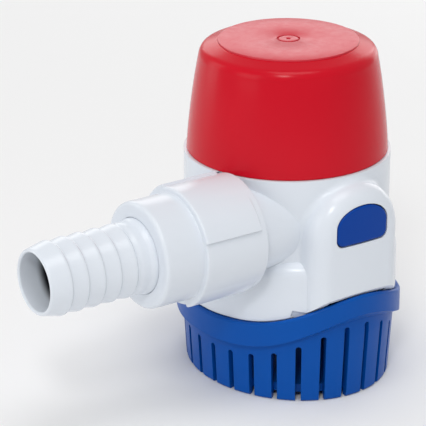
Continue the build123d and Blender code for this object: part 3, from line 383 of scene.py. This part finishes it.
class PumpColours(bpy.types.PropertyGroup):
    """Colours of the finishes."""
    white: colour("Housing", "Moulded ABS, cool white", "#E2E8F0")
    red: colour("Cap", "Moulded ABS, signal red", "#CC0A22")
    label: colour("Cap disc", "Satin disc on the cap", "#CE1830")
    blue: colour("Strainer", "Moulded ABS, mid blue", "#0052AC")
    # the tabs are the strainer's blue made darker: painted shade for the pads in the housing's
    # windows
    tab: colour("Release tabs", "Moulded ABS, strainer blue darkened as painted shade", "#00409C")
    floor: colour("Floor", "Pale studio floor", "#F2F2F2")


def sizes():
    """The sizes that the panel shows."""
    return bpy.context.scene.pump_sizes


def colours():
    """The colours that the panel shows."""
    return bpy.context.scene.pump_colours


# ------------------------------------------------------------------ pieces
def white_abs(name="abs_moulded_white", bore=None):
    """The housing's cool white ABS, made once for each name."""
    found = bpy.data.materials.get(name)
    return found or moulded(name, colours().white, roughness=0.24, shade=0.02, peel=1.8,
                            peel_depth=0.0004, scuff=0.015, edge=0.3, specular=0.4, bore=bore)


def blue_abs(name, shade):
    """A blue ABS, duller than the housing because its tool is lightly etched."""
    return moulded(name, shade, roughness=0.3, shade=0.1, peel=1.4, peel_depth=0.006, scuff=0.1,
                   edge=0.25, specular=0.13)


class PUMP_OT_motor_cap(bpy.types.Operator):
    """Turns the domed motor cap with its spigot, and the plain disc on its top"""
    bl_idname = "pump.motor_cap"
    bl_label = "Motor cap"

    def execute(self, context):
        s = sizes()
        angles = np.linspace(0, 2 * np.pi, CAP_STEPS, endpoint=False)
        # side: quartic r(z) through rim, middle and shoulder with slopes -0.04 and -0.2
        rise = s.cap_upper - s.cap_base
        rows = np.array([[0, 0, 0, 0, 1], [1, 1, 1, 1, 1], [1 / 16, 1 / 8, 1 / 4, 1 / 2, 1],
                         [0, 0, 0, 1, 0], [4, 3, 2, 1, 0]], float)
        bulge = (s.cap_r + s.cap_upper_r) / 2 + s.cap_bulge
        goal = np.array([s.cap_r, s.cap_upper_r, bulge, -0.04 * rise, -0.2 * rise])
        shape = np.linalg.solve(rows, goal)
        t = np.linspace(0.03, 1, 26)
        side = np.stack([s.cap_base + rise * t, np.polyval(shape, t)], 1)
        # shoulder: a rounded corner, then a straight cone up to the flat top
        turn = np.array([s.cap_corner, s.cap_corner_r])
        rim = np.array([s.cap_top, s.label_r])
        p0, p3 = side[-1], turn + 2.0 * MM * (rim - turn) / np.linalg.norm(rim - turn)
        w = np.linspace(0, 1, 16)[1:, None]
        shoulder = np.concatenate([(1 - w) ** 2 * p0 + 2 * w * (1 - w) * turn + w ** 2 * p3,
                                   p3 + np.linspace(0, 1, 7)[1:, None] * (rim - p3)])
        lip = np.array([[0, -2.0], [0, -0.4], [0.08, -0.15], [0.25, 0], [0.5, 0.02]]) * MM
        lip += (s.cap_base, s.cap_r)
        top = np.array([[s.cap_top, r * s.label_r] for r in (0.97, 0.5, 0.0)])
        ceiling = s.cap_top - s.cap_wall
        spigot_r, spigot_in = s.spigot_r, s.spigot_r - s.cap_wall
        foot = s.cap_base - s.spigot_h
        groove = foot + 1.05 * MM
        inside = np.array([[ceiling, 0.0], [ceiling, 10 * MM], [ceiling, s.label_r - s.cap_wall],
                           [s.cap_upper, s.cap_upper_r - s.cap_wall],
                           [s.cap_base + 1.5 * MM, s.cap_r - s.cap_wall],
                           [s.cap_base + 1.5 * MM, spigot_in], [foot, spigot_in],
                           [foot, spigot_r], [groove, spigot_r], [groove, s.groove_r],
                           [groove + s.groove_w, s.groove_r], [groove + s.groove_w, spigot_r],
                           [s.cap_base, spigot_r]])
        outline = np.concatenate([lip, side, shoulder, top, inside])
        cap = surface("motor_cap_shell", turned((outline[:, 0], outline[:, 1]), angles, AXIS_Z))
        sharp_edges(cap, 40)
        red = moulded("abs_moulded_signal_red", colours().red, roughness=0.2, shade=0.05,
                      peel=2.2, peel_depth=0.0015, scuff=0.05, specular=0.17)
        dress(cap, red, "pump", ["motor_cap"])
        # disc: rounded rim, a shallow ring groove round the centre and a gate dimple inside it
        z0, z1, r = s.cap_top - 0.1 * MM, s.cap_top + s.label_t, s.label_r
        groove = np.array([[0, 3.6], [-0.05, 3.5], [-0.45, 3.42], [-0.5, 3.2], [-0.45, 2.98],
                           [-0.05, 2.9], [0, 2.8]]) * MM
        dimple = np.array([[0, 0.75], [-0.05, 0.65], [-0.45, 0.55], [-0.5, 0.0]]) * MM
        rim = np.array([[z0, 0.0], [z0, r - 0.15 * MM], [z0 + 0.05 * MM, r], [z1 - 0.3 * MM, r],
                        [z1 - 0.08 * MM, r - 0.09 * MM], [z1, r - 0.35 * MM]])
        corners = np.concatenate([rim, groove + (z1, 0), dimple + (z1, 0)])
        disc = surface("cap_disc", turned((corners[:, 0], corners[:, 1]), angles, AXIS_Z),
                       wrap_rows=False)
        sharp_edges(disc, 35)
        satin = moulded("pad_printed_abs_red", colours().label, roughness=0.3, peel=0.9,
                        peel_depth=0.006, scuff=0.12)
        dress(disc, satin, "pump", ["cap_label"])
        return {"FINISHED"}


class PUMP_OT_union_nut(bpy.types.Operator):
    """Turns the union nut: grip barrel with four wedge pads, stepped front collar, inner bore"""
    bl_idname = "pump.union_nut"
    bl_label = "Union nut"

    def execute(self, context):
        s = sizes()
        starts = np.radians(NUT_PAD_FIRST + 360 / NUT_PADS * np.arange(NUT_PADS))
        close = (starts[:, None] + np.radians(np.linspace(-1.2, 1.2, 13))[None, :]).ravel()
        even = np.linspace(0, 2 * np.pi, ROUND_STEPS, endpoint=False)
        angles = np.unique(np.round(np.concatenate([even, close]) % (2 * np.pi), 5))
        bore, flange, hub, front = s.nut_bore, s.nut_flange_r, s.nut_hub_r, s.nut_mouth_r
        wall = s.nut_front - s.nut_front_t
        corners = np.array([
            [s.nut_back, bore], [s.nut_back, s.nut_r], [s.nut_step, s.nut_r],
            [s.nut_step, s.nut_collar_r], [s.nut_front, s.nut_collar_r], [s.nut_front, front],
            [wall, front], [wall, hub], [s.seat_front, hub], [s.seat_front, flange],
            [s.seat_back, flange], [s.seat_back, bore]])
        insets = np.array([0.3, 0.2, 1.1, 0.35, 1.3, 0.12, 0.2, 0.2, 0.2, 0.2, 0.2, 0.2]) * MM
        outline = softened(corners, insets, steps=7)
        # extra rows along the barrel let the pads rise out of it
        ends = np.flatnonzero((np.abs(outline[:, 1] - s.nut_r) < 1e-7))
        i0, i1 = ends.min(), ends.max()
        t = np.unique(np.concatenate([np.linspace(0, 1, 30), np.linspace(0.055, 0.115, 9)]))[1:-1]
        barrel_x = outline[i0, 0] + (outline[i1, 0] - outline[i0, 0]) * t
        barrel = np.stack([barrel_x, np.full(t.size, s.nut_r)], 1)
        outline = np.concatenate([outline[:i0 + 1], barrel, outline[i1:]])
        x, r = outline[:, 0], outline[:, 1]
        # pad height: a steep face at each start angle, then a ramp back to the barrel
        turn = (angles[None, :] - starts[:, None]) % (2 * np.pi)
        near = np.where(turn > np.pi, turn - 2 * np.pi, turn)
        face = smoothstep(near, np.radians(-0.5), np.radians(0.3))
        ramp = np.clip(1 - near / np.radians(NUT_PAD_SPAN), 0, 1) ** 0.85
        pad = (face * np.where(near < 0, 1, ramp) * (near > -0.2)).max(0)
        along = smoothstep(x, s.nut_back + 1.7 * MM, s.nut_back + 2.3 * MM)
        outer = smoothstep(r, s.nut_collar_r + 0.2 * MM, s.nut_r - 0.6 * MM)
        outer = outer * (x < s.nut_step + 0.1 * MM)
        radius = r[:, None] + s.grip_h * (along * outer)[:, None] * pad[None, :]
        nut = surface("union_nut_shell", turned((x, radius), angles, AXIS_X,
                                                (OUTLET_Y, OUTLET_Z)))
        sharp_edges(nut, 50)
        dress(nut, white_abs(), "nut", ["union_nut"])
        return {"FINISHED"}


class PUMP_OT_hose_tail(bpy.types.Operator):
    """Turns the barbed hose tail with its flange, hub and bore"""
    bl_idname = "pump.hose_tail"
    bl_label = "Hose tail"

    def execute(self, context):
        s = sizes()
        angles = np.linspace(0, 2 * np.pi, ROUND_STEPS, endpoint=False)
        end, crest, hub, back = s.barb_end, s.barb_r, s.hub_front, s.tail_back
        places = end - s.barb_tip - s.barb_pitch * np.arange(BARB_COUNT)
        tops, valleys = np.full(BARB_COUNT, crest), np.full(BARB_COUNT, crest - s.barb_depth)
        teeth = np.stack([np.stack([places + 0.35 * MM, tops], 1),
                          np.stack([places - 0.1 * MM, tops], 1),
                          np.stack([places - 0.8 * MM, valleys], 1)], 1).reshape(-1, 2)
        root = crest - 0.2 * MM
        flange_end = back + s.flange_t
        # mouth, barbs, root and flare, hub, flange, then back through the bore
        corners = np.concatenate([
            [[end, s.bore_r + 0.35 * MM], [end, s.bore_r + 0.7 * MM],
             [end - 0.4 * MM, s.bore_r + 1.1 * MM]], teeth,
            [[places[-1] - 2.2 * MM, root], [s.nut_front + 2.1 * MM, root],
             [s.nut_front + 0.7 * MM, s.flare_r], [hub, s.flare_r], [hub, s.hub_r],
             [flange_end, s.hub_r], [flange_end, s.flange_r], [back, s.flange_r],
             [back, s.hub_bore_r], [hub - 1.5 * MM, s.hub_bore_r],
             [hub + 1.5 * MM, s.bore_r], [end - 0.4 * MM, s.bore_r]]])
        insets = np.concatenate([
            [0.25, 0.25, 0.5], np.tile([0.16, 0.16, 0.3], BARB_COUNT),
            [0.5, 0.5, 0.5, 0.3, 0.3, 0.3, 0.3, 0.3, 0.3, 0.5, 0.5, 0.3]]) * MM
        outline = softened(corners, insets, steps=6)
        tail = surface("hose_tail_shell", turned((outline[:, 0], outline[:, 1]), angles, AXIS_X,
                                                 (OUTLET_Y, OUTLET_Z)))
        sharp_edges(tail, 50)
        darkened = (s.bore_r + 0.8 * MM, end - 5.5 * MM, end - 8.5 * MM, linear("#2B2A30"))
        dress(tail, white_abs("abs_moulded_white_tail", darkened), "tail",
              ["hose_tail"])
        return {"FINISHED"}


class PUMP_OT_housing(bpy.types.Operator):
    """Finishes the white pump housing and its volute cover"""
    bl_idname = "pump.housing"
    bl_label = "Housing"

    def execute(self, context):
        finish_node("body_housing", white_abs())
        finish_node("volute_cover", white_abs())
        finish_node("valve_seat", white_abs())
        return {"FINISHED"}


class PUMP_OT_strainer(bpy.types.Operator):
    """Finishes the blue strainer foot and its two release tabs"""
    bl_idname = "pump.strainer"
    bl_label = "Strainer and tabs"

    def execute(self, context):
        finish_node("strainer_base", blue_abs("abs_moulded_mid_blue", colours().blue))
        # a darker copy of the strainer's blue: painted shade for the tabs' pads in the housing's
        # windows
        tab = blue_abs("abs_moulded_blue_painted_shade", colours().tab)
        finish_node("release_tab_right", tab)
        finish_node("release_tab_left", tab)
        return {"FINISHED"}


class PUMP_OT_inner_pieces(bpy.types.Operator):
    """Finishes the motor, pumping and sealing pieces inside the housing"""
    bl_idname = "pump.inner_pieces"
    bl_label = "Inner pieces"

    def execute(self, context):
        steel = metal("stainless_steel_turned", linear("#C3C4C6"), 0.24, 0.2, (1, 1, 14))
        bronze = metal("sintered_bronze", linear("#A9814F"), 0.5, 0.3, (1, 1, 1), bump_mm=0.02)
        rubber = matt("nitrile_rubber_moulded", linear("#17181A"), 0.6, 0.5, 0.01)
        finishes = {
            "cover_screws": steel, "seal_retainer": steel, "rotor_shaft": steel,
            "flap_pin": steel,
            "motor_can": metal("steel_drawn_zinc_plated", linear("#A7A9AB"), 0.38, 0.4,
                               (1, 1, 0.1)),
            "field_magnets": matt("ferrite_sintered", linear("#37383B"), 0.65, 0.3, 0.02, 0.2),
            "motor_end_cap": moulded("nylon_moulded_natural", linear("#D8D2BE"), 0.42,
                                     scuff=0.1, glow=0.1),
            "brush_arms": metal("phosphor_bronze_strip", linear("#B98452"), 0.3, 0.2, (1, 12, 1)),
            "brushes": matt("carbon_pressed", linear("#242426"), 0.75, 0.25, 0.02),
            "terminals": metal("brass_stamped", linear("#C9A55A"), 0.28, 0.3, (12, 1, 1)),
            "upper_bush": bronze, "lower_bush": bronze,
            "shaft_seal": rubber, "cap_seal": rubber, "outlet_gasket": rubber,
            "cable_gland": rubber, "check_flap": rubber,
            "armature_core": metal("steel_laminated", linear("#6E7073"), 0.45, 0.5,
                                   (0.1, 0.1, 1), bump_mm=0.03),
            "armature_windings": metal("copper_wire_enamelled", linear("#A4502A"), 0.32, 0.35,
                                       (1, 1, 0.2), bump_mm=0.12),
            "commutator": metal("copper_turned", linear("#BC7A54"), 0.3, 0.15, (1, 1, 14)),
            "impeller": moulded("acetal_moulded_black", linear("#1B1C1E"), 0.36, scuff=0.1),
            "thrust_washer": moulded("nylon_washer_natural", linear("#CFC9B6"), 0.45),
        }
        for node, material in finishes.items():
            finish_node(node, material)
        return {"FINISHED"}


def softbox(name, across, out, up, width, height, watts):
    """A rectangular light that faces the pump, placed by its distance to the camera's right,
    towards the camera and up, in metres."""
    light = bpy.data.objects.new(name, bpy.data.lights.new(name, "AREA"))
    bpy.context.scene.collection.objects.link(light)
    light.data.shape, light.data.size, light.data.size_y = "RECTANGLE", width, height
    light.data.energy = watts
    spot = CAMERA_RIGHT * across + CAMERA_TOWARD * out + Vector((0, 0, up))
    light.location = spot
    light.rotation_euler = (spot - Vector(LIGHT_TARGET) * MM).to_track_quat("Z", "Y").to_euler()


def studio_floor():
    """A level square grid with a matt paper finish."""
    line = np.linspace(-FLOOR_HALF, FLOOR_HALF, 9) * MM
    x, y = np.meshgrid(line, line, indexing="ij")
    level = np.full(x.shape, -FLOOR_DROP * MM)
    floor = surface("studio_floor", np.stack([x, y, level], 2), False, False)
    if floor.data.polygons[0].normal.z < 0:
        floor.data.flip_normals()
    material, tree = blank_material("paper_backdrop_pale")
    place = add_node(tree, "ShaderNodeTexCoord").outputs["Object"]
    grain = add_node(tree, "ShaderNodeTexNoise", {"Scale": 1 / (3 * MM), "Detail": 3.0},
                     Vector=place)
    rough = add_node(tree, "ShaderNodeMapRange", {"To Min": 0.85, "To Max": 0.95},
                     Value=grain.outputs["Fac"])
    shader = add_node(tree, "ShaderNodeBsdfPrincipled", {"Specular IOR Level": 0.2},
                      Roughness=rough.outputs["Result"])
    shader.inputs["Base Color"].default_value = colours().floor
    finish_material(tree, shader)
    floor.data.materials.append(material)


class PUMP_OT_studio(bpy.types.Operator):
    """Lays the pale floor, and sets the soft lights and the camera"""
    bl_idname = "pump.studio"
    bl_label = "Studio"

    def execute(self, context):
        studio_floor()
        back = (Vector(CAMERA_SPOT) - Vector(CAMERA_TARGET)) * MM
        camera = bpy.data.objects.new("camera", bpy.data.cameras.new("camera"))
        context.scene.collection.objects.link(camera)
        camera.data.lens, camera.data.sensor_width = LENS_MM, SENSOR_MM
        camera.data.clip_start, camera.data.clip_end = 0.05, 20.0
        camera.location = Vector(CAMERA_SPOT) * MM
        camera.rotation_euler = back.to_track_quat("Z", "Y").to_euler()
        context.scene.camera = camera
        for box in SOFTBOXES:
            softbox(*box)
        world = bpy.data.worlds.new("studio_air")
        world.use_nodes = True
        air = world.node_tree.nodes["Background"]
        air.inputs["Color"].default_value = linear("#FFFFFF")
        air.inputs["Strength"].default_value = WORLD_STRENGTH
        context.scene.world = world
        context.scene.view_settings.view_transform = "Standard"
        return {"FINISHED"}


class PUMP_PT_panel(bpy.types.Panel):
    """Sizes, colours and build steps of the pump"""
    bl_idname = "PUMP_PT_panel"
    bl_label = "Bilge pump"
    bl_space_type = "VIEW_3D"
    bl_region_type = "UI"
    bl_category = "Bilge Pump"

    def draw(self, context):
        for group in (context.scene.pump_sizes, context.scene.pump_colours):
            box = self.layout.box()
            for key in group.bl_rna.properties.keys():
                if key not in ("rna_type", "name"):
                    box.prop(group, key)
        for operator in OPERATORS:
            self.layout.operator(operator.bl_idname)


OPERATORS = (PUMP_OT_motor_cap, PUMP_OT_union_nut, PUMP_OT_hose_tail, PUMP_OT_housing,
             PUMP_OT_strainer, PUMP_OT_inner_pieces, PUMP_OT_studio)
CLASSES = (PumpSizes, PumpColours, *OPERATORS, PUMP_PT_panel)


def register():
    """Adds the property groups, operators and panel."""
    for cls in CLASSES:
        bpy.utils.register_class(cls)
    bpy.types.Scene.pump_sizes = bpy.props.PointerProperty(type=PumpSizes)
    bpy.types.Scene.pump_colours = bpy.props.PointerProperty(type=PumpColours)


def unregister():
    """Takes the add-on out again."""
    del bpy.types.Scene.pump_colours
    del bpy.types.Scene.pump_sizes
    for cls in reversed(CLASSES):
        bpy.utils.unregister_class(cls)


def main():
    register()
    bpy.ops.pump.motor_cap()
    bpy.ops.pump.union_nut()
    bpy.ops.pump.hose_tail()
    bpy.ops.pump.housing()
    bpy.ops.pump.strainer()
    bpy.ops.pump.inner_pieces()
    bpy.ops.pump.studio()


if __name__ == "__main__":
    main()
